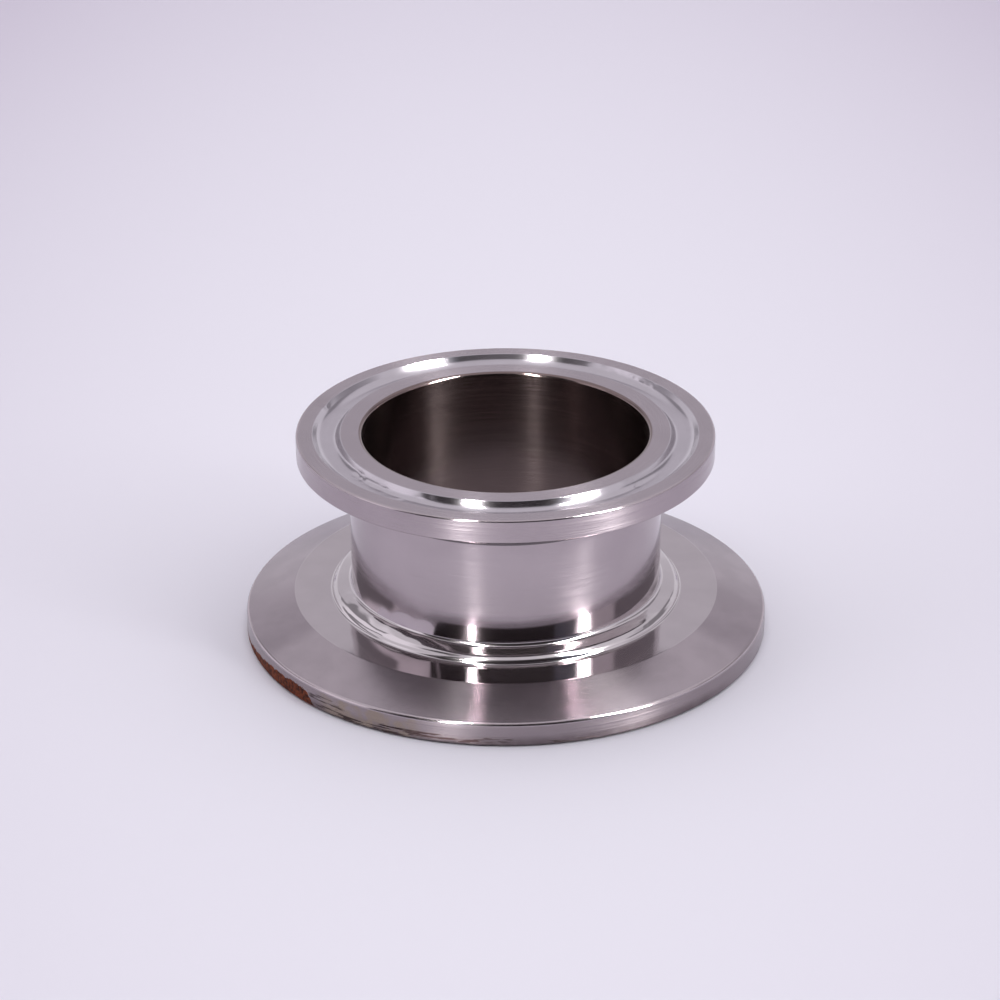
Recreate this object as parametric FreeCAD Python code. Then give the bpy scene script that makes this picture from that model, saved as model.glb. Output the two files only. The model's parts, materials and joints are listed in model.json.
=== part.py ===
"""Sanitary clamp reducer: a short necked ferrule on a wider clamp flange.

One turned, welded and polished piece of stainless steel with a straight bore. The axis is Z and
the gasket face of the large flange lies at height zero. Lengths are in millimetres, angles in
degrees.
"""

import FreeCAD
import Part

import math
import os

# Driving dimensions
OVERALL_HEIGHT = 26.0
BORE_DIAMETER = 34.8
NECK_DIAMETER = 38.1

# Clamp rims: a clamp closes on the rim and wedges on its conical back
SMALL_FLANGE_DIAMETER = 50.95
SMALL_RIM_THICKNESS = 2.85
LARGE_FLANGE_DIAMETER = 64.2
LARGE_RIM_THICKNESS = 2.93
RIM_BACK_ANGLE = 20.0

# Gasket grooves, on the standard pitch circle of each size: a rounded channel whose inner wall
# is the steeper one
SMALL_GROOVE_PITCH = 43.55
LARGE_GROOVE_PITCH = 56.3
GROOVE_WIDTH = 3.35
GROOVE_DEPTH = 1.0
GROOVE_INNER_WALL_ANGLE = 62.0
GROOVE_OUTER_WALL_ANGLE = 52.0

# Large flange's hub: the cone of the back ends at a flat polished ring
HUB_DIAMETER = 52.2

# Foot: the collar where the neck stands on the hub, dressed to a smooth shoulder
FOOT_DIAMETER = 43.6
FOOT_HEIGHT = 1.1
FOOT_TOP_FALL = 9.0
FOOT_SIDE_ANGLE = 62.0

# Fillets
FOOT_SHOULDER_ROUND = 1.3
FOOT_NECK_FILLET = 0.8
NECK_TOP_FILLET = 1.6

# Edge breaks: how far each chamfer reaches along both sides of its corner
BORE_EDGE_BREAK = 0.25
SMALL_RIM_FACE_BREAK = 0.4
LARGE_RIM_FACE_BREAK = 0.32
SMALL_RIM_BACK_BREAK = 0.12
LARGE_RIM_BACK_BREAK = 0.3
GROOVE_FOOT_BREAK = 0.45

# Ways to treat a corner of the section
FILLET = "fillet"
CHAMFER = "chamfer"
SHARP = "sharp"

# Points nearer to each other than this are one point
JOINT_GAP = 0.000001


def section_point(radius, height):
    """A point of the half section, in the plane through the axis."""
    return FreeCAD.Vector(radius, 0, height)


def fillet_arc(before, corner, after, radius):
    """The arc that rounds a corner, limited to half of its shorter side."""
    to_before = before - corner
    to_after = after - corner
    half = to_before.getAngle(to_after) / 2
    side = min(to_before.Length, to_after.Length) / 2
    tangent = min(radius / math.tan(half), side)
    radius = tangent * math.tan(half)
    to_before.normalize()
    to_after.normalize()
    bisector = (to_before + to_after).normalize()
    middle = corner + bisector * (radius / math.sin(half) - radius)
    return Part.Arc(corner + to_before * tangent, middle, corner + to_after * tangent)


def chamfer_line(before, corner, after, reach):
    """The straight line that cuts a corner off at one distance along both sides."""
    start = corner + (before - corner).normalize() * reach
    end = corner + (after - corner).normalize() * reach
    return Part.LineSegment(start, end)


def worked_corner(before, corner, after, treatment, size):
    """Start and end of one treated corner, with its edge unless the corner stays sharp."""
    if treatment == SHARP:
        return corner, corner, []
    make = fillet_arc if treatment == FILLET else chamfer_line
    cut = make(before, corner, after, size)
    return cut.StartPoint, cut.EndPoint, [cut.toShape()]


def worked_section(corners):
    """A closed wire through corners given as (radius, height, treatment, size)."""
    points = [section_point(radius, height) for radius, height, _, _ in corners]
    worked = []
    for index, (_, _, treatment, size) in enumerate(corners):
        after = points[(index + 1) % len(points)]
        worked.append(worked_corner(points[index - 1], points[index], after, treatment, size))
    edges = []
    for index, (_, end, cut) in enumerate(worked):
        edges += cut
        next_start = worked[(index + 1) % len(worked)][0]
        if (next_start - end).Length > JOINT_GAP:
            edges.append(Part.LineSegment(end, next_start).toShape())
    return Part.Wire(edges)


def revolved(wire):
    """The solid that a closed half section sweeps around the axis."""
    origin = FreeCAD.Vector(0, 0, 0)
    axis = FreeCAD.Vector(0, 0, 1)
    solid = Part.Face(wire).revolve(origin, axis, 360)
    return solid if solid.Volume > 0 else solid.reversed()


def cone_rise(run):
    """How far the conical back of a rim climbs over a radial run."""
    return run * math.tan(math.radians(RIM_BACK_ANGLE))


def groove_corners(pitch_diameter, face_height, outward):
    """The corners of one gasket groove, from its inner edge to its outer one.

    outward is 1 for a groove in the upper face and -1 for one in the lower face.
    """
    inner = (pitch_diameter - GROOVE_WIDTH) / 2
    outer = (pitch_diameter + GROOVE_WIDTH) / 2
    inner_foot = inner + GROOVE_DEPTH / math.tan(math.radians(GROOVE_INNER_WALL_ANGLE))
    outer_foot = outer - GROOVE_DEPTH / math.tan(math.radians(GROOVE_OUTER_WALL_ANGLE))
    floor_height = face_height - outward * GROOVE_DEPTH
    return [
        (inner, face_height, SHARP, 0),
        (inner_foot, floor_height, CHAMFER, GROOVE_FOOT_BREAK),
        (outer_foot, floor_height, CHAMFER, GROOVE_FOOT_BREAK),
        (outer, face_height, SHARP, 0),
    ]


def reducer():
    """The finished piece: one turned form with its bore, foot and gasket grooves."""
    bore = BORE_DIAMETER / 2
    neck = NECK_DIAMETER / 2
    small_rim = SMALL_FLANGE_DIAMETER / 2
    large_rim = LARGE_FLANGE_DIAMETER / 2
    hub = HUB_DIAMETER / 2
    foot = FOOT_DIAMETER / 2

    hub_height = LARGE_RIM_THICKNESS + cone_rise(large_rim - hub)
    foot_top = hub_height + FOOT_HEIGHT
    top_fall = math.tan(math.radians(FOOT_TOP_FALL))
    side_rise = math.tan(math.radians(FOOT_SIDE_ANGLE))
    shoulder_run = (FOOT_HEIGHT - (foot - neck) * top_fall) / (side_rise - top_fall)
    shoulder = foot - shoulder_run
    shoulder_height = hub_height + shoulder_run * side_rise

    back_height = OVERALL_HEIGHT - SMALL_RIM_THICKNESS
    neck_top = back_height - cone_rise(small_rim - neck)
    lower_groove = groove_corners(LARGE_GROOVE_PITCH, 0, -1)
    upper_groove = groove_corners(SMALL_GROOVE_PITCH, OVERALL_HEIGHT, 1)

    return revolved(
        worked_section(
            [
                (bore, 0, CHAMFER, BORE_EDGE_BREAK),
                *lower_groove,
                (large_rim, 0, CHAMFER, LARGE_RIM_FACE_BREAK),
                (large_rim, LARGE_RIM_THICKNESS, CHAMFER, LARGE_RIM_BACK_BREAK),
                (hub, hub_height, SHARP, 0),
                (foot, hub_height, SHARP, 0),
                (shoulder, shoulder_height, FILLET, FOOT_SHOULDER_ROUND),
                (neck, foot_top, FILLET, FOOT_NECK_FILLET),
                (neck, neck_top, FILLET, NECK_TOP_FILLET),
                (small_rim, back_height, CHAMFER, SMALL_RIM_BACK_BREAK),
                (small_rim, OVERALL_HEIGHT, CHAMFER, SMALL_RIM_FACE_BREAK),
                *reversed(upper_groove),
                (bore, OVERALL_HEIGHT, CHAMFER, BORE_EDGE_BREAK),
            ]
        )
    )


def main():
    """Writes the one node."""
    shape = reducer()
    os.makedirs("parts", exist_ok=True)
    shape.exportStep("parts/reducer_body.step")
    print("solids", len(shape.Solids), "volume", round(shape.Volume, 1), "box", shape.BoundBox)


if __name__ == "__main__":
    main()
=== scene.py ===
"""Sanitary clamp reducer of stainless steel, standing on a pale sweep.

The reducer is one turned form: a half section swept round the Z axis, with a finish for each of
its zones (turned lands, mirror grooves, brushed neck, dressed foot) and rust and nicks on the lower
edge. It stands in a white tent whose bright and dark panels give the steel its reflections.

Lengths are in metres and angles in degrees unless a name says otherwise. Azimuth 0 is the side
that faces the camera (-Y), and positive azimuths turn towards +X.
"""

import json
import logging
import math
from dataclasses import dataclass
from enum import Enum

import bpy
import numpy as np
from mathutils import Matrix, Vector


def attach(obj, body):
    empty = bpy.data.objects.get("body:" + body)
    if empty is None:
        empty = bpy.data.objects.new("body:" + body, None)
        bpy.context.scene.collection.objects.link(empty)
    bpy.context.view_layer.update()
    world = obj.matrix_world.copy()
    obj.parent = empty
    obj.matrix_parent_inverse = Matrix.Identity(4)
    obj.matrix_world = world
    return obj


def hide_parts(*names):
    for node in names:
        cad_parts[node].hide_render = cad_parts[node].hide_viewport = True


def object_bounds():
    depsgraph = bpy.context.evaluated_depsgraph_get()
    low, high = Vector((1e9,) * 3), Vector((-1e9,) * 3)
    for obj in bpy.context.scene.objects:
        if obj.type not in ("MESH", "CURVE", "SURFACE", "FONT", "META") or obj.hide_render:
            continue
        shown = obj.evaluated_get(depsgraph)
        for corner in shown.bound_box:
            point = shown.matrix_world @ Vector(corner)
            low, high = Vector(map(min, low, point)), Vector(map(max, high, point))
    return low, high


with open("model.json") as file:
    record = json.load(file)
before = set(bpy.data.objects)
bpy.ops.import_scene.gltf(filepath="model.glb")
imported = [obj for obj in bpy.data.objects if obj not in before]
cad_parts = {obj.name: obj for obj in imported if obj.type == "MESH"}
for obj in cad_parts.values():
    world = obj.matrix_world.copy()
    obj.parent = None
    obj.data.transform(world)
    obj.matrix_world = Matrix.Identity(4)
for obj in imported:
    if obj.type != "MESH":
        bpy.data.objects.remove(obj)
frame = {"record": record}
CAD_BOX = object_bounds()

LOG = logging.getLogger("reducer")
MM = 0.001
TURNED_MAP = "turned"

Colour = tuple[float, float, float]
Corner = tuple[float, float, float]
Span = tuple[float, float]
Socket = bpy.types.NodeSocket


class Zone(Enum):
    """Zones of the turned section, each with its own finish."""

    BASE = "base_face"
    LARGE_RIM = "large_rim"
    SLOPE = "clamp_slope"
    HUB = "hub_ring"
    FOOT = "weld_foot"
    NECK = "neck"
    UNDERSIDE = "small_flange_back_painted_shade"
    SMALL_RIM = "small_rim"
    LAND = "gasket_land"
    GROOVE = "gasket_groove"
    BORE = "bore"
    EDGE = "rim_edge"


@dataclass(frozen=True)
class Run:
    """A curved run of the half section and the straight side that follows it.

    Attributes:
        points: (n, 2) radius and height.
        normals: (n, 2) outward unit normals in the plane of the section.
        zone: zone of the run itself.
        side: zone of the straight side after the run.
    """

    points: np.ndarray
    normals: np.ndarray
    zone: Zone
    side: Zone


def unit(vector: np.ndarray) -> np.ndarray:
    """The vector scaled to length one."""
    return vector / np.linalg.norm(vector)


def slope(angle: float) -> float:
    """Rise over run of a side at an angle to the horizontal."""
    return math.tan(math.radians(angle))


def add_object(name: str, data: bpy.types.ID) -> bpy.types.Object:
    """A new object in the scene.

    Args:
        name: its name.
        data: its mesh, light or camera.

    Returns:
        The object.
    """
    made = bpy.data.objects.new(name, data)
    bpy.context.scene.collection.objects.link(made)
    return made


def arc(centre: np.ndarray, radius: float, start: float, sweep: float, count: int) -> np.ndarray:
    """Points on a circle, from an angle over a signed sweep, both in radians."""
    angles = start + sweep * np.linspace(0.0, 1.0, count)
    return centre + radius * np.stack([np.cos(angles), np.sin(angles)], axis=1)


@dataclass
class TurnedSection:
    """The reducer's half section, traced counter-clockwise from the lower end of the bore.

    Every corner is rounded by a tangent arc, so the normals run on smoothly from side to side.
    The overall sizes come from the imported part, and the rest are the sizes of the turned form.

    Attributes:
        height: overall height.
        large_rim_radius: radius of the lower clamp rim.
        small_rim_radius: radius of the upper clamp rim.
        bore_radius: radius of the bore.
        neck_radius: radius of the neck's outer wall.
        hub_radius: radius where the lower flange's slope meets the flat hub ring.
        foot_radius: radius of the foot at the hub ring.
        foot_side: slope of the foot's side.
        foot_side_height: how far the side rises.
        foot_bevel: slope of the bevel above the side.
        foot_bevel_height: how far the bevel rises.
        foot_fall: slope of the shelf between the bevel and the neck.
        small_rim_thickness: thickness of the upper rim's edge.
        large_rim_thickness: thickness of the lower rim's edge.
        back_angle: slope of the clamp rims' backs.
        small_pitch_radius: radius of the middle of the upper gasket groove.
        large_pitch_radius: radius of the middle of the lower gasket groove.
        groove_width: width of a groove at the face.
        groove_depth: depth of a groove.
        groove_inner_wall: slope of a groove's inner wall.
        groove_outer_wall: slope of a groove's outer wall.
        groove_round: rounding of a groove's edges at the face.
        groove_foot_round: rounding of a groove's floor.
        bore_round: rounding of the bore's ends.
        small_face_round: rounding of the upper rim's edge at its face.
        large_face_round: rounding of the lower rim's edge at its face.
        small_back_round: rounding of the upper rim's edge at its back.
        large_back_round: rounding of the lower rim's edge at its back.
        hub_round: rounding where the slope meets the hub ring.
        foot_base_fillet: fillet where the hub ring meets the foot.
        foot_shoulder_round: rounding under and over the foot's bevel.
        foot_neck_fillet: fillet where the foot's shelf meets the neck.
        neck_top_fillet: fillet where the neck meets the upper rim's back.
        side_step: step along plain sides.
        fine_step: step along sides that hold nicks and dents.
        side_lead: distance of a side's first and last point from its arcs.
        most_lead: the most of a side's length that the lead takes.
        joint_gap: arcs nearer to each other than this touch.
        arc_points: fewest points on an arc.
        arc_density: points on an arc for each radian that it turns.
    """

    height: float
    large_rim_radius: float
    small_rim_radius: float
    bore_radius: float
    neck_radius: float = 19.05 * MM
    hub_radius: float = 26.1 * MM
    foot_radius: float = 21.5 * MM
    foot_side: float = 76.0
    foot_side_height: float = 0.42 * MM
    foot_bevel: float = 43.0
    foot_bevel_height: float = 0.48 * MM
    foot_fall: float = 11.0
    small_rim_thickness: float = 2.85 * MM
    large_rim_thickness: float = 2.93 * MM
    back_angle: float = 20.0
    small_pitch_radius: float = 21.775 * MM
    large_pitch_radius: float = 28.15 * MM
    groove_width: float = 3.35 * MM
    groove_depth: float = 1.0 * MM
    groove_inner_wall: float = 62.0
    groove_outer_wall: float = 52.0
    groove_round: float = 0.1 * MM
    groove_foot_round: float = 1.3 * MM
    bore_round: float = 0.45 * MM
    small_face_round: float = 0.26 * MM
    large_face_round: float = 0.4 * MM
    small_back_round: float = 0.2 * MM
    large_back_round: float = 0.45 * MM
    hub_round: float = 0.25 * MM
    foot_base_fillet: float = 0.3 * MM
    foot_shoulder_round: float = 0.8 * MM
    foot_neck_fillet: float = 0.6 * MM
    neck_top_fillet: float = 1.6 * MM
    side_step: float = 2.0 * MM
    fine_step: float = 0.3 * MM
    side_lead: float = 0.06 * MM
    most_lead: float = 0.3
    joint_gap: float = 0.001 * MM
    arc_points: int = 5
    arc_density: float = 6.0

    def corners(self) -> list[Corner]:
        """The section's corners, in the order of the trace.

        Returns:
            Radius, height and rounding of each corner.
        """
        back = slope(self.back_angle)
        side = self.foot_radius - self.foot_side_height / slope(self.foot_side)
        bevel = side - self.foot_bevel_height / slope(self.foot_bevel)
        hub_height = self.large_rim_thickness + back * (self.large_rim_radius - self.hub_radius)
        side_top = hub_height + self.foot_side_height
        bevel_top = side_top + self.foot_bevel_height
        foot_top = bevel_top + (bevel - self.neck_radius) * slope(self.foot_fall)
        back_height = self.height - self.small_rim_thickness
        neck_top = back_height - back * (self.small_rim_radius - self.neck_radius)
        return [
            (self.bore_radius, 0.0, self.bore_round),
            *self.groove_corners(self.large_pitch_radius, 0.0, -1),
            (self.large_rim_radius, 0.0, self.large_face_round),
            (self.large_rim_radius, self.large_rim_thickness, self.large_back_round),
            (self.hub_radius, hub_height, self.hub_round),
            (self.foot_radius, hub_height, self.foot_base_fillet),
            (side, side_top, self.foot_shoulder_round),
            (bevel, bevel_top, self.foot_shoulder_round),
            (self.neck_radius, foot_top, self.foot_neck_fillet),
            (self.neck_radius, neck_top, self.neck_top_fillet),
            (self.small_rim_radius, back_height, self.small_back_round),
            (self.small_rim_radius, self.height, self.small_face_round),
            *reversed(self.groove_corners(self.small_pitch_radius, self.height, 1)),
            (self.bore_radius, self.height, self.bore_round),
        ]

    def groove_corners(self, pitch: float, face: float, outward: int) -> list[Corner]:
        """The corners of a gasket groove, from its inner edge to its outer one.

        Args:
            pitch: radius of the groove's middle.
            face: height of the face.
            outward: 1 for an upper face, -1 for a lower one.

        Returns:
            Radius, height and rounding of the four corners.
        """
        inner, outer = pitch - self.groove_width / 2, pitch + self.groove_width / 2
        inner_foot = inner + self.groove_depth / slope(self.groove_inner_wall)
        outer_foot = outer - self.groove_depth / slope(self.groove_outer_wall)
        floor = face - outward * self.groove_depth
        return [
            (inner, face, self.groove_round),
            (inner_foot, floor, self.groove_foot_round),
            (outer_foot, floor, self.groove_foot_round),
            (outer, face, self.groove_round),
        ]

    def corner_run(self, index: int, zone: Zone, side: Zone) -> Run:
        """The tangent arc that rounds one corner.

        The arc's centre lies on the corner's bisector at R / sin(half the corner's angle), and it
        touches each side at R / tan(half) from the corner, limited to half of the shorter side.

        Args:
            index: place of the corner in corners().
            zone: zone of the arc.
            side: zone of the side that follows.

        Returns:
            The arc as a run.
        """
        table = self.corners()
        corner = np.array(table[index][:2])
        before = np.array(table[index - 1][:2]) - corner
        after = np.array(table[(index + 1) % len(table)][:2]) - corner
        shorter = min(np.linalg.norm(before), np.linalg.norm(after))
        before, after = unit(before), unit(after)
        half = math.acos(float(before @ after)) / 2
        tangent = min(table[index][2] / math.tan(half), shorter / 2)
        radius = tangent * math.tan(half)
        centre = corner + unit(before + after) * radius / math.sin(half)
        first = corner + before * tangent - centre
        last = corner + after * tangent - centre
        turn = first[0] * last[1] - first[1] * last[0]
        sweep = math.atan2(turn, float(first @ last))
        count = max(self.arc_points, math.ceil(abs(sweep) * self.arc_density))
        points = arc(centre, radius, math.atan2(first[1], first[0]), sweep, count)
        return Run(points, np.sign(sweep) * (points - centre) / radius, zone, side)

    def trace(self) -> tuple[np.ndarray, np.ndarray, list[Zone]]:
        """The closed section, with the points of its arcs and along its sides.

        Returns:
            (n, 2) points, (n, 2) outward normals and the zone of the step after each point.
        """
        zones_of_corners = [
            (Zone.BORE, Zone.BASE),
            *[(Zone.GROOVE, Zone.GROOVE)] * 3,
            (Zone.GROOVE, Zone.BASE),
            (Zone.LARGE_RIM, Zone.LARGE_RIM),
            (Zone.EDGE, Zone.SLOPE),
            (Zone.HUB, Zone.HUB),
            *[(Zone.FOOT, Zone.FOOT)] * 3,
            (Zone.FOOT, Zone.NECK),
            (Zone.UNDERSIDE, Zone.UNDERSIDE),
            (Zone.SMALL_RIM, Zone.SMALL_RIM),
            (Zone.EDGE, Zone.LAND),
            *[(Zone.GROOVE, Zone.GROOVE)] * 3,
            (Zone.GROOVE, Zone.LAND),
            (Zone.BORE, Zone.BORE),
        ]
        runs = [self.corner_run(k, *both) for k, both in enumerate(zones_of_corners)]
        points, normals, zones = [], [], []
        for run, following in zip(runs, runs[1:] + runs[:1]):
            start, end = run.points[-1], following.points[0]
            length = float(np.linalg.norm(end - start))
            zones += [run.zone] * (len(run.points) - 1)
            if length < self.joint_gap:
                points.append(run.points[:-1])
                normals.append(run.normals[:-1])
                continue
            worn = run.side in (Zone.LARGE_RIM, Zone.GROOVE, Zone.FOOT)
            step = self.fine_step if worn else self.side_step
            steps = np.arange(1, math.ceil(length / step)) * step / length
            lead = min(self.side_lead / length, self.most_lead)
            shares = np.unique(np.clip(np.concatenate([[lead, 1 - lead], steps]), lead, 1 - lead))
            side = start + (end - start) * shares[:, None]
            points += [run.points, side]
            normals += [run.normals, np.repeat(run.normals[-1:], len(side), axis=0)]
            zones += [run.side] * (len(side) + 1)
        return np.concatenate(points), np.concatenate(normals), zones


@dataclass
class Graph:
    """A node tree with short calls for the nodes that the materials share."""

    tree: bpy.types.NodeTree

    @classmethod
    def emptied(cls, owner: bpy.types.Material | bpy.types.World) -> "Graph":
        """The node tree of a material or a world, without its default nodes.

        Args:
            owner: the material or world.

        Returns:
            A graph of the empty tree.
        """
        owner.use_nodes = True
        owner.node_tree.nodes.clear()
        return cls(owner.node_tree)

    def node(
        self, kind: str, inputs: dict[str | int, object] | None = None, **settings: object
    ) -> bpy.types.Node:
        """A new node.

        Args:
            kind: type name of the node.
            inputs: values or sockets by input name or index.
            settings: properties of the node.

        Returns:
            The node.
        """
        made = self.tree.nodes.new(kind)
        for name, value in settings.items():
            setattr(made, name, value)
        for name, value in (inputs or {}).items():
            self.feed(made.inputs[name], value)
        return made

    def feed(self, socket: Socket, value: object) -> None:
        """Links a socket to an input, or sets the input's value.

        Args:
            socket: the input.
            value: a socket or a plain value.
        """
        if isinstance(value, bpy.types.NodeSocket):
            self.tree.links.new(value, socket)
        else:
            socket.default_value = value

    def math(self, operation: str, *values: object, clamp: bool = False) -> Socket:
        """The result of one Math node.

        Args:
            operation: what the node works out.
            values: its operands.
            clamp: whether the result is kept between 0 and 1.

        Returns:
            The result.
        """
        made = self.node("ShaderNodeMath", dict(enumerate(values)), operation=operation)
        made.use_clamp = clamp
        return made.outputs[0]

    def times(self, first: object, second: object) -> Socket:
        """The product of two values."""
        return self.math("MULTIPLY", first, second)

    def parts(self, vector: Socket) -> list[Socket]:
        """The three parts of a vector."""
        return list(self.node("ShaderNodeSeparateXYZ", {0: vector}).outputs)

    def span(
        self, value: object, low: float, high: float, at_low: float = 0.0, at_high: float = 1.0
    ) -> Socket:
        """The value mapped smoothly from low..high onto at_low..at_high.

        Args:
            value: the value.
            low: start of the span.
            high: end of the span.
            at_low: the result up to the start.
            at_high: the result from the end on.

        Returns:
            The mapped value.
        """
        sockets = {"Value": value, "From Min": low, "From Max": high, "To Min": at_low}
        sockets["To Max"] = at_high
        made = self.node("ShaderNodeMapRange", sockets, interpolation_type="SMOOTHSTEP")
        return made.outputs[0]

    def window(self, value: object, low: float, high: float, edge: float) -> Socket:
        """1 where the value lies in low..high, falling smoothly to 0 over an edge outside.

        Args:
            value: the value.
            low: start of the window.
            high: end of the window.
            edge: width of the fall on both sides.

        Returns:
            The share, from 0 to 1.
        """
        rise = self.span(value, low - edge, low)
        fall = self.span(value, high, high + edge, 1.0, 0.0)
        return self.times(rise, fall)

    def place(self) -> Socket:
        """The place in the object's own frame."""
        return self.node("ShaderNodeTexCoord").outputs["Object"]

    def bearing(self, x: Socket, y: Socket) -> Socket:
        """The azimuth of a direction, 0 towards -Y and 90 towards +X."""
        return self.math("DEGREES", self.math("ARCTAN2", x, self.times(y, -1.0)))

    def noise(self, place: Socket, size: float, detail: float = 3.0) -> Socket:
        """Fractal noise from 0 to 1 at a place, with features of a size."""
        sockets = {"Vector": place, "Scale": 1.0 / size, "Detail": detail}
        return self.node("ShaderNodeTexNoise", sockets).outputs[0]

    def turned_noise(self, around: float, along: float, detail: float = 3.0) -> Socket:
        """Fractal noise that runs seamlessly round the axis and along the section.

        Its place is (around cos u, around sin u, along v) of the turned UV map.

        Args:
            around: scale round the axis.
            along: scale along the section.
            detail: how many finer layers of noise it holds.

        Returns:
            The noise, from 0 to 1.
        """
        u, v, _ = self.parts(self.node("ShaderNodeUVMap", uv_map=TURNED_MAP).outputs[0])
        angle = self.times(u, 2 * math.pi)
        x, y = (self.times(self.math(wave, angle), around) for wave in ("COSINE", "SINE"))
        place = self.node("ShaderNodeCombineXYZ", {0: x, 1: y, 2: self.times(v, along)})
        return self.noise(place.outputs[0], 1.0, detail)

    def blend(self, share: object, first: object, second: object) -> Socket:
        """A colour between two.

        Args:
            share: 0 for the first colour, 1 for the second.
            first: a colour or a socket.
            second: a colour or a socket.

        Returns:
            The blended colour.
        """
        made = self.node("ShaderNodeMix", data_type="RGBA")
        colours = [s for s in made.inputs if s.type == "RGBA"]
        self.feed(made.inputs[0], share)
        for socket, value in zip(colours, (first, second)):
            self.feed(socket, (*value, 1.0) if isinstance(value, tuple) else value)
        return next(s for s in made.outputs if s.type == "RGBA")


# Levels between which most of a fractal noise lies, the scale of the brush lines round the axis,
# and half the step between shallow and deep hairlines
NOISE_LEVELS, ROUND_SCALE, HAIR_EDGE = (0.3, 0.7), 1.6, 0.03
# The turn of stretched highlights, as a share of a full turn, and the reflectance of rust
QUARTER_TURN, GLOSS = 0.25, 0.1


@dataclass(frozen=True)
class Finish:
    """The worked surface of one zone.

    Attributes:
        zone: where it is.
        roughness: roughness between the deep brush lines.
        deep: roughness of the deep brush lines.
        deep_from: level of the hairline pattern, from 0 to 1, above which a line is deep.
        anisotropy: how far highlights stretch across the brush lines.
        grain: depth of the brush lines that can be seen singly.
        density: how many of those the whole section would hold.
        hairlines: how many hairlines the whole section would hold.
        wave: depth of the slow waves that polishing by hand leaves.
        wave_length: size of those waves.
        mottle: how much the tone varies from patch to patch.
        patch: size of those patches.
        grazing: how much of the reflectance is left at grazing angles.
        colour: the steel's reflectance; under the upper flange and in the bore it is darkened as
            painted shade.
    """

    zone: Zone
    roughness: float
    deep: float = 0.0
    deep_from: float = 1.0
    anisotropy: float = 0.0
    grain: float = 0.0
    density: float = 420.0
    hairlines: float = 100000.0
    wave: float = 0.0
    wave_length: float = 4.0 * MM
    mottle: float = 0.03
    patch: float = 5.0 * MM
    grazing: float = 1.0
    colour: Colour = (0.46, 0.425, 0.42)

    def build(self) -> bpy.types.Material:
        """Makes the finish's material.

        Returns:
            The material.
        """
        material = bpy.data.materials.new(self.zone.value)
        graph = Graph.emptied(material)
        shader = graph.node(
            "ShaderNodeBsdfPrincipled",
            {
                "Metallic": 1.0,
                "Anisotropic": self.anisotropy,
                "Anisotropic Rotation": QUARTER_TURN,
                "Specular IOR Level": GLOSS,
                "Specular Tint": (self.grazing, self.grazing, self.grazing, 1.0),
                **self.surface(graph),
            },
        )
        if self.anisotropy:
            tangent = graph.node("ShaderNodeTangent", direction_type="UV_MAP", uv_map=TURNED_MAP)
            graph.feed(shader.inputs["Tangent"], tangent.outputs[0])
        graph.node("ShaderNodeOutputMaterial", {"Surface": shader.outputs[0]})
        return material

    def surface(self, graph: Graph) -> dict[str, object]:
        """The steel's colour, brushed roughness and relief.

        Args:
            graph: the material's graph.

        Returns:
            What the finish feeds to the shader, by the name of the shader's input.
        """
        patches = graph.noise(graph.place(), self.patch)
        roughness = self.roughness
        if self.deep:
            hairs = graph.turned_noise(ROUND_SCALE, self.hairlines, 0.0)
            share = graph.span(hairs, self.deep_from - HAIR_EDGE, self.deep_from + HAIR_EDGE)
            roughness = graph.math("MULTIPLY_ADD", share, self.deep - roughness, roughness)
        dark = tuple(c * (1.0 - self.mottle) for c in self.colour)
        light = tuple(c * (1.0 + self.mottle) for c in self.colour)
        shade = graph.span(patches, *NOISE_LEVELS)
        return {
            "Base Color": graph.blend(shade, dark, light),
            "Roughness": roughness,
            "Normal": self.relief(graph, 1.0),
        }

    def relief(self, graph: Graph, strength: object) -> Socket:
        """The normal, bent by the waves of the polishing and by the brush lines.

        Args:
            graph: the material's graph.
            strength: how much of the brush lines is there, from 0 to 1.

        Returns:
            The normal.
        """
        lines = graph.turned_noise(ROUND_SCALE, self.density)
        waves = graph.noise(graph.place(), self.wave_length, 1.0)
        wavy = graph.node("ShaderNodeBump", {"Height": waves, "Distance": self.wave}).outputs[0]
        sockets = {"Height": lines, "Distance": self.grain, "Strength": strength, "Normal": wavy}
        return graph.node("ShaderNodeBump", sockets).outputs[0]


@dataclass(frozen=True)
class HalfPolished(Finish):
    """A satin zone whose lower end was buffed to a mirror with the foot below it.

    Attributes:
        mirror: roughness of the mirror.
        mirror_top: height at which the mirror begins to turn to satin.
        satin_from: height from which all is satin.
    """

    mirror: float = 0.05
    mirror_top: float = 9.0 * MM
    satin_from: float = 10.6 * MM

    def surface(self, graph: Graph) -> dict[str, object]:
        """The satin's surface, smoothed and made glossy towards the foot.

        Args:
            graph: the material's graph.

        Returns:
            What the finish feeds to the shader, by the name of the shader's input.
        """
        made = super().surface(graph)
        height = graph.parts(graph.place())[2]
        satin = graph.span(height, self.mirror_top, self.satin_from)
        above = graph.math("SUBTRACT", made["Roughness"], self.mirror)
        made["Roughness"] = graph.math("MULTIPLY_ADD", satin, above, self.mirror)
        made["Normal"] = self.relief(graph, satin)
        return made


# Levels of a noise between which stains, fresh rust, scratches and the darker lower band come in
STAIN_LEVELS, FRESH_LEVELS = (0.38, 0.56), (0.35, 0.65)
SCRATCH_LEVELS, LOWER_BAND_LEVELS = (0.49, 0.54), (0.25, 0.6)
# Shares: the darkest stain, the least darkening of the lower band, what rust hides of the metal,
# the dullness of dirt
MOST_STAIN, LEAST_LOWER_BAND, RUST_COVER, DIRT_DULLNESS = 0.9, 0.6, 0.95, 0.6
# Azimuths over which marks fade out at both ends, and the height over which scratches do
STAIN_FADE, SCRATCH_FADE, LOWER_BAND_FADE, RUST_FADE = 5.0, 2.0, 12.0, 1.5
SCRATCH_RIM = 0.12 * MM
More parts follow.
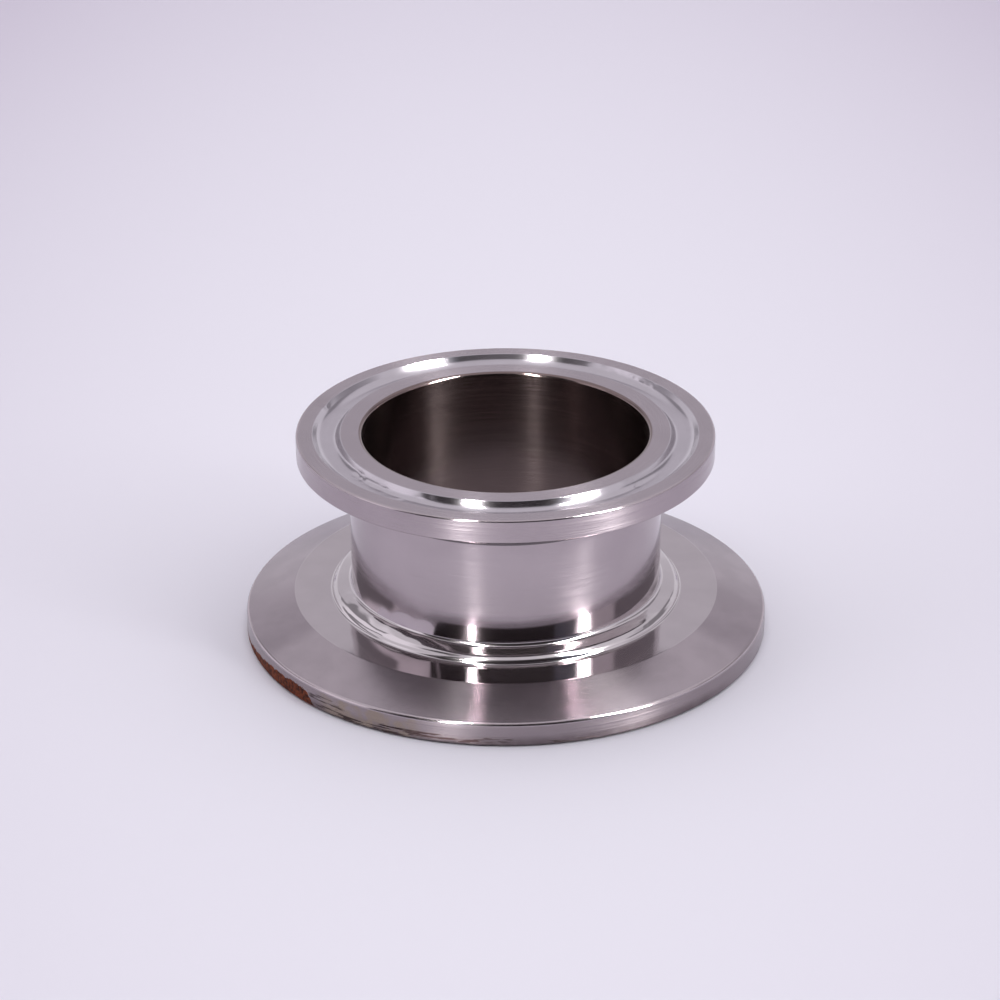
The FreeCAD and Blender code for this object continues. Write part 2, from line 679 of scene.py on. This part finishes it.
# The rust's upper line: its share of the full height at the start, the azimuth over which it
# breaks off, how far coarse and fine grain shift it, and the heights about it where rust fades
THIN_RUST, RUST_BREAK = 0.28, 4.0
RUST_RAGGED = (0.9 * MM, 0.7 * MM)
RUST_VERGE = (-0.08 * MM, 0.05 * MM)


@dataclass(frozen=True)
class WornRim(Finish):
    """The lower clamp rim, with rust, stains and nicks along its lower edge.

    Attributes:
        rust_start: azimuth where the rust begins as a thin line.
        rust_full: azimuth where it stands highest.
        rust_end: azimuth where it breaks off.
        rust_height: its greatest height.
        stain_azimuths: first and last azimuth of the stains.
        rust_dark: colour of old rust.
        rust_bright: colour of fresh rust.
        stain: colour of stained steel.
        lower_band_tone: colour towards which the rim turns darker near its lower edge.
        dirt: colour in the scratches and nicks.
        bands: where scratches lie: both heights, both azimuths and the depth of tone.
        fine_size: size of the fine grain in rust and nicks.
        coarse_size: size of the patches of stain and rust.
        scratch_scale: scales of the scratches round the axis and along the section.
        lower_band_heights: heights between which the darker lower band fades out.
        lower_band_azimuths: first and last azimuth of the darker lower band.
        crust: how far the rust stands up.
        dullness: roughness of rust and dirt.
    """

    rust_start: float = -89.0
    rust_full: float = -53.0
    rust_end: float = -44.5
    rust_height: float = 1.95 * MM
    stain_azimuths: Span = (-40.0, -22.0)
    rust_dark: Colour = (0.045, 0.016, 0.011)
    rust_bright: Colour = (0.2, 0.05, 0.022)
    stain: Colour = (0.33, 0.27, 0.225)
    lower_band_tone: Colour = (0.19, 0.155, 0.165)
    dirt: Colour = (0.04, 0.026, 0.028)
    bands: tuple[tuple[float, ...], ...] = (
        (0.7 * MM, 2.0 * MM, -46.0, -38.0, 0.75),
        (0.02 * MM, 0.7 * MM, -44.0, -20.0, 0.9),
        (0.4 * MM, 1.15 * MM, -27.0, 0.0, 1.0),
        (0.35 * MM, 0.6 * MM, 9.0, 19.0, 0.8),
    )
    fine_size: float = 0.45 * MM
    coarse_size: float = 2.2 * MM
    scratch_scale: Span = (11.0, 460.0)
    lower_band_heights: Span = (0.5 * MM, 1.7 * MM)
    lower_band_azimuths: Span = (-90.0, 48.0)
    crust: float = 0.12 * MM
    dullness: float = 0.85

    def surface(self, graph: Graph) -> dict[str, object]:
        """The rim's surface with its rust, stains and nicks laid over the steel.

        Args:
            graph: the material's graph.

        Returns:
            What the finish feeds to the shader, by the name of the shader's input.
        """
        made = super().surface(graph)
        x, y, height = graph.parts(graph.place())
        azimuth = graph.bearing(x, y)
        fine = graph.noise(graph.place(), self.fine_size, 4.0)
        coarse = graph.noise(graph.place(), self.coarse_size)
        rust = self.rust(graph, azimuth, height, fine, coarse)
        marks = self.marks(graph, azimuth, height)

        # The rim turns darker towards its lower edge, in patches, between two azimuths.
        lower_band = graph.times(
            graph.span(height, *self.lower_band_heights, 1.0, 0.0),
            graph.window(azimuth, *self.lower_band_azimuths, LOWER_BAND_FADE),
        )
        lower_band = graph.times(lower_band, graph.span(coarse, *LOWER_BAND_LEVELS, LEAST_LOWER_BAND, 1.0))
        tone = graph.blend(lower_band, made["Base Color"], self.lower_band_tone)
        stained = graph.window(azimuth, *self.stain_azimuths, STAIN_FADE)
        stained = graph.times(stained, graph.span(coarse, *STAIN_LEVELS, 0.0, MOST_STAIN))
        tone = graph.blend(stained, tone, self.stain)
        tone = graph.blend(marks, tone, self.dirt)
        fresh = graph.span(fine, *FRESH_LEVELS)
        ochre = graph.blend(fresh, self.rust_dark, self.rust_bright)
        made["Base Color"] = graph.blend(rust, tone, ochre)
        made["Metallic"] = graph.math("SUBTRACT", 1.0, graph.times(rust, RUST_COVER))
        dull = graph.math("MAXIMUM", rust, graph.times(marks, DIRT_DULLNESS))
        step = graph.math("SUBTRACT", self.dullness, made["Roughness"])
        made["Roughness"] = graph.math("MULTIPLY_ADD", dull, step, made["Roughness"])
        crust = graph.times(rust, fine)
        sockets = {"Height": crust, "Distance": self.crust, "Normal": made["Normal"]}
        made["Normal"] = graph.node("ShaderNodeBump", sockets).outputs[0]
        return made

    def marks(self, graph: Graph, azimuth: Socket, height: Socket) -> Socket:
        """Where dirt sits in scratches: the crests of a stretched noise within the bands.

        Args:
            graph: the material's graph.
            azimuth: azimuth on the rim.
            height: height on the rim.

        Returns:
            The share of dirt, from 0 to 1.
        """
        reach = 0.0
        for low, high, first, last, strength in self.bands:
            band = graph.window(height, low, high, SCRATCH_RIM)
            band = graph.times(band, graph.window(azimuth, first, last, SCRATCH_FADE))
            reach = graph.math("MAXIMUM", reach, graph.times(band, strength))
        scratches = graph.turned_noise(*self.scratch_scale, 2.0)
        return graph.times(reach, graph.span(scratches, *SCRATCH_LEVELS))

    def rust(
        self, graph: Graph, azimuth: Socket, height: Socket, fine: Socket, coarse: Socket
    ) -> Socket:
        """Where the rust is: under a ragged line that climbs and then breaks off.

        Args:
            graph: the material's graph.
            azimuth: azimuth on the rim.
            height: height on the rim.
            fine: noise of the fine grain.
            coarse: noise of the patches.

        Returns:
            The share of rust, from 0 to 1.
        """
        climb = graph.span(azimuth, self.rust_start, self.rust_full, THIN_RUST, 1.0)
        end = graph.span(azimuth, self.rust_end - RUST_BREAK, self.rust_end, 1.0, 0.0)
        line = graph.times(graph.times(climb, end), self.rust_height)
        for grain, reach in zip((coarse, fine), RUST_RAGGED):
            line = graph.math("ADD", line, graph.math("MULTIPLY_ADD", grain, reach, -reach / 2))
        above = graph.math("SUBTRACT", height, line)
        covered = graph.span(above, *RUST_VERGE, 1.0, 0.0)
        inside = graph.window(azimuth, self.rust_start, self.rust_end, RUST_FADE)
        return graph.times(covered, inside)


BRUSHED = {"anisotropy": 0.95, "deep": 0.305}
TURNED = {
    "anisotropy": 0.93,
    "deep": 0.315,
    "deep_from": 0.55,
    "hairlines": 12000.0,
    "grain": 0.0005 * MM,
    "wave": 0.003 * MM,
}
FINISHES = (
    Finish(Zone.BASE, 0.18, **TURNED),
    WornRim(Zone.LARGE_RIM, 0.18, colour=(0.32, 0.275, 0.29), **TURNED),
    Finish(
        Zone.SLOPE,
        0.148,
        deep=0.245,
        deep_from=0.61,
        anisotropy=0.95,
        wave=0.003 * MM,
        mottle=0.06,
        grazing=0.85,
        colour=(0.355, 0.31, 0.33),
    ),
    Finish(Zone.HUB, 0.09, wave=0.004 * MM, colour=(0.45, 0.41, 0.42)),
    Finish(Zone.FOOT, 0.1, wave=0.012 * MM, wave_length=3.0 * MM, colour=(0.50, 0.465, 0.47)),
    HalfPolished(
        Zone.NECK, 0.085, deep_from=0.64, wave=0.002 * MM, colour=(0.45, 0.395, 0.415), **BRUSHED
    ),
    # Under the upper flange the colour is darkened well below the steel's own: painted shade.
    Finish(Zone.UNDERSIDE, 0.22, colour=(0.16, 0.14, 0.148), **BRUSHED),
    Finish(Zone.SMALL_RIM, 0.16, colour=(0.43, 0.375, 0.395), **TURNED),
    Finish(
        Zone.LAND, 0.148, deep_from=0.66, wave=0.002 * MM, colour=(0.355, 0.312, 0.332), **BRUSHED
    ),
    Finish(
        Zone.GROOVE,
        0.166,
        anisotropy=0.95,
        wave=0.004 * MM,
        wave_length=2.5 * MM,
        colour=(0.46, 0.43, 0.455),
    ),
    # The bore's dark brownish colour is painted shade of the deep bore, not the steel's own tone.
    Finish(Zone.BORE, 0.113, deep_from=0.67, colour=(0.19, 0.145, 0.14), **BRUSHED),
    Finish(
        Zone.EDGE, 0.1, deep_from=0.66, wave=0.002 * MM, colour=(0.42, 0.37, 0.385), **BRUSHED
    ),
)


# Least and greatest size and depth of a dent, as shares of the mean
SIZE_SPREAD, DEPTH_SPREAD = (0.6, 1.4), (0.5, 1.5)


@dataclass(frozen=True)
class Dents:
    """A cluster of small dents and nicks.

    Attributes:
        azimuths: first and last azimuth.
        radii: least and greatest radius.
        heights: least and greatest height.
        count: how many there are.
        size: mean half width of a dent.
        depth: mean depth.
        seed: seed of their places.
        stretch: how many times longer each is round the axis than across.
    """

    azimuths: Span
    radii: Span
    heights: Span
    count: int
    size: float
    depth: float
    seed: int
    stretch: float = 2.0

    def relief(self, points: np.ndarray) -> np.ndarray:
        """How far the cluster presses in the surface at each point.

        Each dent is a bell, depth * exp(-(d / size)^2), of the distance d from its middle, drawn
        out round the axis. Dents that overlap press as deep as the deepest.

        Args:
            points: (rings, steps, 3) points of the surface.

        Returns:
            (rings, steps) depths.
        """
        draw = np.random.default_rng(self.seed)
        azimuth = np.radians(draw.uniform(*self.azimuths, self.count))
        radius = draw.uniform(*self.radii, self.count)
        height = draw.uniform(*self.heights, self.count)
        size = self.size * draw.uniform(*SIZE_SPREAD, self.count)
        depth = self.depth * draw.uniform(*DEPTH_SPREAD, self.count)
        sine, cosine = np.sin(azimuth), np.cos(azimuth)
        middle = np.stack([radius * sine, -radius * cosine, height], axis=1)
        along = np.stack([cosine, sine, 0.0 * height], axis=1)
        offset = points[..., None, :] - middle
        spared = (1 - 1 / self.stretch**2) * (offset * along).sum(axis=-1) ** 2
        square = (offset**2).sum(axis=-1) - spared
        return (depth * np.exp(-square / size**2)).max(axis=-1)


def span_mm(low: float, high: float) -> Span:
    """A span given in millimetres."""
    return low * MM, high * MM


FOOT_RADII, FOOT_HEIGHTS = span_mm(19.5, 21.6), span_mm(5.4, 6.6)
DENTS = (
    Dents((-80.0, -24.0), FOOT_RADII, FOOT_HEIGHTS, 70, 0.7 * MM, 0.035 * MM, 11),
    Dents((24.0, 78.0), FOOT_RADII, FOOT_HEIGHTS, 60, 0.7 * MM, 0.03 * MM, 12),
    Dents((-60.0, -29.0), span_mm(20.2, 22.2), span_mm(25.0, 25.4), 16, 0.3 * MM, 0.06 * MM, 3),
    Dents((-111.0, -108.0), span_mm(23.2, 23.5), span_mm(25.85, 26.0), 3, 0.22 * MM, 0.12 * MM, 4),
    Dents((44.0, 50.0), span_mm(20.3, 21.0), span_mm(25.1, 25.6), 3, 0.25 * MM, 0.09 * MM, 9),
    Dents((126.0, 152.0), span_mm(22.4, 23.6), span_mm(25.5, 26.0), 14, 0.35 * MM, 0.05 * MM, 5),
    Dents((-46.0, -3.0), span_mm(31.8, 32.1), span_mm(0.05, 0.4), 16, 0.22 * MM, 0.09 * MM, 8),
)


@dataclass(frozen=True)
class Bead:
    """A stretch of weld bead that the dressing left proud of the foot, or cut too deep.

    Attributes:
        azimuths: first and last azimuth.
        radius: radius of its crest.
        height: height of its crest.
        width: half width.
        rise: how far it stands proud, negative where it is hollow.
        ripple: how much its crest rises and falls.
        seed: seed of its ripples.
        sway: how much its crest shifts in and out, as a share of the radius.
        waves: fewest and most ripples in a full turn.
        taper: length of the fade at each end.
    """

    azimuths: Span
    radius: float
    height: float
    width: float
    rise: float
    ripple: float
    seed: int
    sway: float = 0.003
    waves: Span = (12.0, 40.0)
    taper: float = 25.0

    def relief(self, points: np.ndarray) -> np.ndarray:
        """How far the bead lifts the surface at each point, as a negative depth.

        The bead is a bell, rise * exp(-(d / width)^2), of the distance d from its crest. Three
        waves of random length and phase ripple the rise and shift the crest, and the bead fades
        smoothly at both ends.

        Args:
            points: (rings, steps, 3) points of the surface.

        Returns:
            (rings, steps) depths.
        """
        draw = np.random.default_rng(self.seed)
        azimuth = np.arctan2(points[..., 0], -points[..., 1])
        counts = draw.uniform(*self.waves, 3)
        phases = draw.uniform(0.0, 2 * np.pi, (2, 3))
        waves = np.sin(azimuth[..., None, None] * counts + phases)
        swell, shift = np.moveaxis(waves.mean(axis=-1), -1, 0)
        crest = self.radius * (1 + self.sway * shift)
        aside = np.hypot(points[..., 0], points[..., 1]) - crest
        square = aside**2 + (points[..., 2] - self.height) ** 2
        first, last = np.radians(self.azimuths)
        inside = np.minimum(azimuth - first, last - azimuth) / np.radians(self.taper)
        share = np.clip(inside, 0.0, 1.0)
        fade = share**2 * (3 - 2 * share)
        return -self.rise * (1 + self.ripple * swell) * fade * np.exp(-square / self.width**2)


BEADS = (
    Bead((-84.0, -14.0), 19.75 * MM, 6.3 * MM, 0.85 * MM, 0.5 * MM, 0.12, 21),
    Bead((-78.0, -10.0), 21.25 * MM, 5.8 * MM, 0.5 * MM, -0.22 * MM, 0.1, 22),
)


@dataclass
class Reducer:
    """The reducer's steel body.

    Attributes:
        section: its half section.
        coarse: step round the axis, in degrees.
        fine: step round the axis where there are dents.
    """

    section: TurnedSection
    coarse: float = 2.0
    fine: float = 0.5

    def build(self) -> bpy.types.Object:
        """The body as one closed mesh.

        The point k of the section, at azimuth a, lies at (r_k sin a, -r_k cos a, z_k), pressed in
        along its normal by the dents, or lifted by the weld beads.

        Returns:
            The body's object.
        """
        points, normals, zones = self.section.trace()
        azimuths = self.azimuths()
        rings, count = len(azimuths), len(points)
        around = np.stack([np.sin(azimuths), -np.cos(azimuths)], axis=1)
        body = self.swept(around, points)
        facing = self.swept(around, normals)
        depth = np.max([dents.relief(body) for dents in DENTS], axis=0)
        depth = depth + np.sum([bead.relief(body) for bead in BEADS], axis=0)
        tilted = self.tilted(body, facing, depth, azimuths)
        body = body - facing * depth[..., None]

        quads = self.quads(rings, count)
        mesh = bpy.data.meshes.new("reducer_body")
        mesh.from_pydata(body.reshape(-1, 3), [], quads)
        mesh.polygons.foreach_set("use_smooth", np.ones(len(quads), dtype=bool))
        order = [finish.zone for finish in FINISHES]
        slots = np.array([order.index(zone) for zone in zones], dtype=np.int32)
        mesh.polygons.foreach_set("material_index", np.tile(slots, rings))
        turned = mesh.uv_layers.new(name=TURNED_MAP)
        turned.data.foreach_set("uv", self.turned_map(points, azimuths))
        mesh.normals_split_custom_set_from_vertices(tilted.reshape(-1, 3))
        for finish in FINISHES:
            mesh.materials.append(finish.build())
        return add_object("reducer", mesh)

    def quads(self, rings: int, count: int) -> np.ndarray:
        """The four points of each face, which joins two rings and two steps of the section.

        Args:
            rings: how many rings of points go round the axis.
            count: how many points the section has.

        Returns:
            (rings * count, 4) indices of points.
        """
        ring, step = np.arange(rings)[:, None] * count, np.arange(count)[None, :]
        next_ring, next_step = np.roll(ring, -1), np.roll(step, -1)
        corners = [ring + step, next_ring + step, next_ring + next_step, ring + next_step]
        return np.stack(corners, axis=2).reshape(-1, 4)

    def azimuths(self) -> np.ndarray:
        """The azimuth of each ring of points: closer together where dents lie.

        Returns:
            (rings,) azimuths in radians.
        """
        steps = [np.arange(-180.0, 180.0, self.coarse)]
        steps += [np.arange(*dents.azimuths, self.fine) for dents in DENTS]
        slots = np.unique(np.round(np.concatenate(steps) / self.fine))
        return np.radians(slots * self.fine)

    def swept(self, around: np.ndarray, section: np.ndarray) -> np.ndarray:
        """Vectors of the section, turned to every azimuth.

        Args:
            around: (rings, 2) outward unit vector at each azimuth.
            section: (steps, 2) radial and axial parts.

        Returns:
            (rings, steps, 3) vectors.
        """
        flat = around[:, None, :] * section[None, :, :1]
        tall = np.broadcast_to(section[None, :, 1:], (*flat.shape[:2], 1))
        return np.concatenate([flat, tall], axis=2)

    def tilted(
        self, body: np.ndarray, facing: np.ndarray, depth: np.ndarray, azimuths: np.ndarray
    ) -> np.ndarray:
        """The normals of the dented and beaded surface.

        A surface pressed in by a depth d along its normal n has a normal along
        n + (slope of d along s) s + (slope of d along t) t, for any two directions s and t that
        lie in the surface at right angles, here along the section and round the axis.

        Args:
            body: (rings, steps, 3) points before the dents and beads.
            facing: (rings, steps, 3) normals before the dents and beads.
            depth: (rings, steps) depths of the dents, less the rise of the beads.
            azimuths: azimuth of each ring, in radians.

        Returns:
            (rings, steps, 3) unit normals.
        """
        lengths = np.linalg.norm(np.diff(body[0], axis=0), axis=1)
        travelled = np.concatenate([[0.0], np.cumsum(lengths)])
        radius = np.linalg.norm(body[..., :2], axis=-1)
        round_axis = np.stack([np.cos(azimuths), np.sin(azimuths), 0.0 * azimuths], axis=1)
        round_axis = np.broadcast_to(round_axis[:, None, :], body.shape)
        along = np.cross(facing, round_axis)
        slope_along = np.gradient(depth, travelled, axis=1)
        slope_round = np.gradient(depth, azimuths, axis=0) / radius
        advance = np.sign((along[0, 0] * (body[0, 1] - body[0, 0])).sum())
        normal = facing + advance * slope_along[..., None] * along
        normal = normal + slope_round[..., None] * round_axis
        return normal / np.linalg.norm(normal, axis=-1, keepdims=True)

    def turned_map(self, points: np.ndarray, azimuths: np.ndarray) -> np.ndarray:
        """UV corners: u runs round the axis and v along the section, both from 0 to 1.

        Args:
            points: (steps, 2) points of the section.
            azimuths: azimuth of each ring, in radians.

        Returns:
            The u and v of every corner, face by face, in one flat array.
        """
        steps = np.linalg.norm(np.roll(points, -1, axis=0) - points, axis=1)
        along = np.concatenate([[0.0], np.cumsum(steps)]) / steps.sum()
        around = np.concatenate([azimuths, azimuths[:1] + 2 * np.pi]) / (2 * np.pi) + 0.5
        rings = len(azimuths)
        corners = np.empty((rings, len(points), 4, 2))
        for corner, (turn, step) in enumerate([(0, 0), (1, 0), (1, 1), (0, 1)]):
            corners[:, :, corner, 0] = around[turn : turn + rings, None]
            corners[:, :, corner, 1] = along[None, step : step + len(points)]
        return corners.ravel()


@dataclass(frozen=True)
class Panel:
    """A soft-edged panel of the tent, seen from the object.

    Attributes:
        name: what it is.
        azimuth: its middle.
        elevation: its middle.
        half_width: half its extent in azimuth.
        half_height: half its extent in elevation.
        edge: width of its soft edge.
        colour: its radiance.
    """

    name: str
    azimuth: float
    elevation: float
    half_width: float
    half_height: float
    edge: float
    colour: Colour


@dataclass(frozen=True)
class Tent:
    """The light tent round the object, as a world of soft panels over a plain ground.

    Attributes:
        horizon: radiance at the horizon.
        zenith: radiance overhead.
        turning: elevations between which the one turns to the other.
        seen: radiance that the camera sees behind the floor.
        panels: panels, each laid over those before it.
    """

    horizon: Colour = (0.97, 0.94, 1.02)
    zenith: Colour = (0.90, 0.87, 0.94)
    turning: Span = (24.0, 48.0)
    seen: Colour = (0.74, 0.70, 0.79)
    panels: tuple[Panel, ...] = (
        Panel("far shelf", 180.0, 27.0, 62.0, 7.0, 4.0, (0.78, 0.745, 0.82)),
        Panel("left wall", -95.0, 5.0, 22.0, 25.0, 20.0, (1.3, 1.25, 1.36)),
        Panel("left gap", -119.0, 26.0, 26.0, 4.5, 6.0, (0.38, 0.36, 0.40)),
        Panel("right gap", 118.0, 26.0, 27.0, 4.5, 6.0, (0.36, 0.34, 0.38)),
        Panel("dark room", -4.0, 27.0, 54.0, 30.0, 3.0, (0.030, 0.024, 0.028)),
        Panel("left slit", -51.4, 30.0, 0.6, 30.0, 0.8, (0.5, 0.47, 0.51)),
        Panel("blue wall", 45.0, 30.0, 7.0, 30.0, 3.0, (0.13, 0.14, 0.18)),
    )

    def build(self) -> None:
        """Makes the world and sets it on the scene."""
        world = bpy.data.worlds.new("tent")
        graph = Graph.emptied(world)
        direction = graph.node("ShaderNodeTexCoord").outputs["Generated"]
        x, y, z = graph.parts(direction)
        azimuth = graph.bearing(x, y)
        elevation = graph.math("DEGREES", graph.math("ARCSINE", z))
        overhead = graph.span(elevation, *self.turning)
        colour = graph.blend(overhead, self.horizon, self.zenith)
        for panel in self.panels:
            share = self.cover(graph, panel, azimuth, elevation)
            colour = graph.blend(share, colour, panel.colour)
            colour.node.label = panel.name
        camera_ray = graph.node("ShaderNodeLightPath").outputs["Is Camera Ray"]
        colour = graph.blend(camera_ray, colour, self.seen)
        background = graph.node("ShaderNodeBackground", {"Color": colour})
        graph.node("ShaderNodeOutputWorld", {"Surface": background.outputs[0]})
        bpy.context.scene.world = world

    def cover(self, graph: Graph, panel: Panel, azimuth: Socket, elevation: Socket) -> Socket:
        """How far a panel covers a direction: 1 inside, falling smoothly to 0 over its edge.

        Args:
            graph: the world's graph.
            panel: the panel.
            azimuth: azimuth of the direction.
            elevation: elevation of the direction.

        Returns:
            The share, from 0 to 1.
        """
        aside = graph.math("SUBTRACT", azimuth, panel.azimuth)
        aside = graph.math("ABSOLUTE", graph.math("WRAP", aside, 180.0, -180.0))
        above = graph.math("ABSOLUTE", graph.math("SUBTRACT", elevation, panel.elevation))
        across = graph.span(aside, panel.half_width, panel.half_width + panel.edge, 1.0, 0.0)
        upright = graph.span(above, panel.half_height, panel.half_height + panel.edge, 1.0, 0.0)
        return graph.times(across, upright)


@dataclass(frozen=True)
class Lamp:
    """A tall upright lamp card that faces the object.

    Attributes:
        name: what it is.
        azimuth: its middle.
        half_width: half its extent in azimuth.
        foot: elevation of its lower edge.
        head: elevation of its upper edge.
        shine: radiance in reflections.
        fill: radiance on matt surfaces.
        distance: how far off it stands.
    """

    name: str
    azimuth: float
    half_width: float
    foot: float
    head: float
    shine: float
    fill: float
    distance: float = 3.0

    def build(self) -> None:
        """Makes the card: one light for reflections and one for matt surfaces."""
        low, high = self.distance * slope(self.foot), self.distance * slope(self.head)
        width = 2 * self.distance * slope(self.half_width)
        turn = math.radians(self.azimuth)
        inward = Vector((-math.sin(turn), math.cos(turn), 0.0))
        for use, radiance in (("shine", self.shine), ("fill", self.fill)):
            light = bpy.data.lights.new(f"{self.name} {use}", "AREA")
            light.shape = "RECTANGLE"
            light.size, light.size_y = width, high - low
            light.energy = radiance * math.pi * width * (high - low)
            if use == "shine":
                self.spare_the_sheet(light)
            card = add_object(light.name, light)
            place = -inward * self.distance + Vector((0.0, 0.0, (low + high) / 2))
            rotation = inward.to_track_quat("-Z", "Y").to_matrix().to_4x4()
            card.matrix_world = Matrix.Translation(place) @ rotation
            card.visible_camera = False
            card.visible_diffuse = use == "fill"
            card.visible_glossy = use == "shine"

    def spare_the_sheet(self, light: bpy.types.Light) -> None:
        """Keeps the light's mirror images from throwing bright patches on the sheet.

        Args:
            light: the light.
        """
        light.use_nodes = True
        graph = Graph(light.node_tree)
        depth = graph.node("ShaderNodeLightPath").outputs["Diffuse Depth"]
        emission = next(n for n in light.node_tree.nodes if n.type == "EMISSION")
        graph.feed(emission.inputs["Strength"], graph.math("LESS_THAN", depth, 0.5))


@dataclass(frozen=True)
class TopCard:
    """A wide soft card overhead, which lights matt surfaces only.

    Attributes:
        height: how high it hangs.
        side: length of its sides.
        fill: radiance on matt surfaces.
    """

    height: float = 2.5
    side: float = 3.0
    fill: float = 0.74

    def build(self) -> None:
        """Makes the card."""
        light = bpy.data.lights.new("top card", "AREA")
        light.size = self.side
        light.energy = self.fill * math.pi * self.side**2
        card = add_object("top card", light)
        card.location = (0.0, 0.0, self.height)
        card.visible_camera = False
        card.visible_glossy = False


LAMPS = (
    Lamp("left lamp", -25.0, 2.4, 22.0, 62.0, shine=190.0, fill=2.7),
    Lamp("right lamp", 60.2, 4.0, 22.0, 62.0, shine=190.0, fill=8.8),
)


@dataclass(frozen=True)
class Sweep:
    """The pale sheet that the object stands on, with a pool of light painted into its colour just
    in front of it.

    Attributes:
        reach: radius of the sheet.
        drop: how far it lies under the object's base.
        sides: how many sides the disc has.
        bright: its colour in the middle of the painted pool of light.
        dim: its colour far from there, where the painted pool of light has faded.
        painted_pool: half width and half depth of the painted pool of light.
        pool_front: how far the middle of the painted pool of light lies in front of the object.
        fade: square of the distance, in half widths, at which the sheet is all dim.
    """

    reach: float = 5.0
    drop: float = 0.02 * MM
    sides: int = 96
    bright: Colour = (0.812, 0.797, 0.856)
    dim: Colour = (0.50, 0.44, 0.54)
    painted_pool: Span = (0.085, 0.24)
    pool_front: float = 0.01
    fade: float = 3.5

    def build(self) -> None:
        """Makes the sheet as a disc of one face."""
        angles = np.linspace(0.0, 2 * np.pi, self.sides, endpoint=False)
        depth = np.full(self.sides, -self.drop)
        points = np.stack([self.reach * np.cos(angles), self.reach * np.sin(angles), depth], axis=1)
        mesh = bpy.data.meshes.new("sweep")
        mesh.from_pydata(points, [], [list(range(self.sides))])
        mesh.materials.append(self.paper())
        sheet = add_object("sweep", mesh)

    def paper(self) -> bpy.types.Material:
        """The sheet's matt white with a pool of light painted in, dimmer by the square of the
        distance from its middle.

        Returns:
            The material.
        """
        material = bpy.data.materials.new("sweep_paper_painted_pool")
        graph = Graph.emptied(material)
        x, y, _ = graph.parts(graph.place())
        aside = graph.math("DIVIDE", x, self.painted_pool[0])
        behind = graph.math("DIVIDE", graph.math("ADD", y, self.pool_front), self.painted_pool[1])
        square = graph.math("MULTIPLY_ADD", aside, aside, graph.times(behind, behind))
        share = graph.math("DIVIDE", square, self.fade, clamp=True)
        # Painted pool of light: the sheet's colour is brightest just in front of the object and
        # dims outwards.
        colour = graph.blend(share, self.bright, self.dim)
        shader = graph.node("ShaderNodeBsdfDiffuse", {"Color": colour})
        graph.node("ShaderNodeOutputMaterial", {"Surface": shader.outputs[0]})
        return material


@dataclass(frozen=True)
class Viewpoint:
    """The camera, as a pinhole fitted to the object's circles.

    Attributes:
        place: where it stands.
        aim: the point in the middle of its picture.
        roll: turn about its own axis.
        lens: focal length in millimetres on the sensor's width.
        sensor: that width in millimetres.
        clip: nearest and farthest distance that is seen.
    """

    place: Vector = Vector((0.0, -0.39997, 0.20751))
    aim: Vector = Vector((-0.00069, 0.0, 0.01657))
    roll: float = -0.192
    lens: float = 130.2
    sensor: float = 36.0
    clip: Span = (0.01, 20.0)

    def build(self) -> None:
        """Makes the camera and sets it on the scene."""
        data = bpy.data.cameras.new("viewpoint")
        data.sensor_width = self.sensor
        data.lens = self.lens
        data.clip_start, data.clip_end = self.clip
        camera = add_object("viewpoint", data)
        turn = (self.aim - self.place).to_track_quat("-Z", "Y").to_matrix().to_4x4()
        tilt = Matrix.Rotation(math.radians(self.roll), 4, "Z")
        camera.matrix_world = Matrix.Translation(self.place) @ turn @ tilt
        bpy.context.scene.camera = camera


def section_from_frame() -> TurnedSection:
    """Takes the section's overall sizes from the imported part.

    Returns:
        The section.
    """
    low, high = CAD_BOX
    radii = {m["name"]: m["dims"].get("r_mm", 0.0) * MM for m in frame["record"]["mounts"]}
    return TurnedSection(
        height=high.z - low.z,
        large_rim_radius=(high.x - low.x) / 2,
        small_rim_radius=radii["small_clamp_rim"],
        bore_radius=radii["through_bore"],
    )


def main() -> None:
    """Builds the scene in order and reports each piece."""
    logging.basicConfig(level=logging.INFO, format="%(name)s: %(message)s")
    bpy.context.scene.view_settings.view_transform = "Standard"
    Viewpoint().build()
    piece = Reducer(section_from_frame()).build()
    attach(piece, "root")
    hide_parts("reducer_body")
    LOG.info("reducer: %d triangles", 2 * len(piece.data.polygons))
    Sweep().build()
    Tent().build()
    TopCard().build()
    for lamp in LAMPS:
        lamp.build()
    LOG.info("stage: sweep, tent and %d lamps", len(LAMPS))


if __name__ == "__main__":
    main()
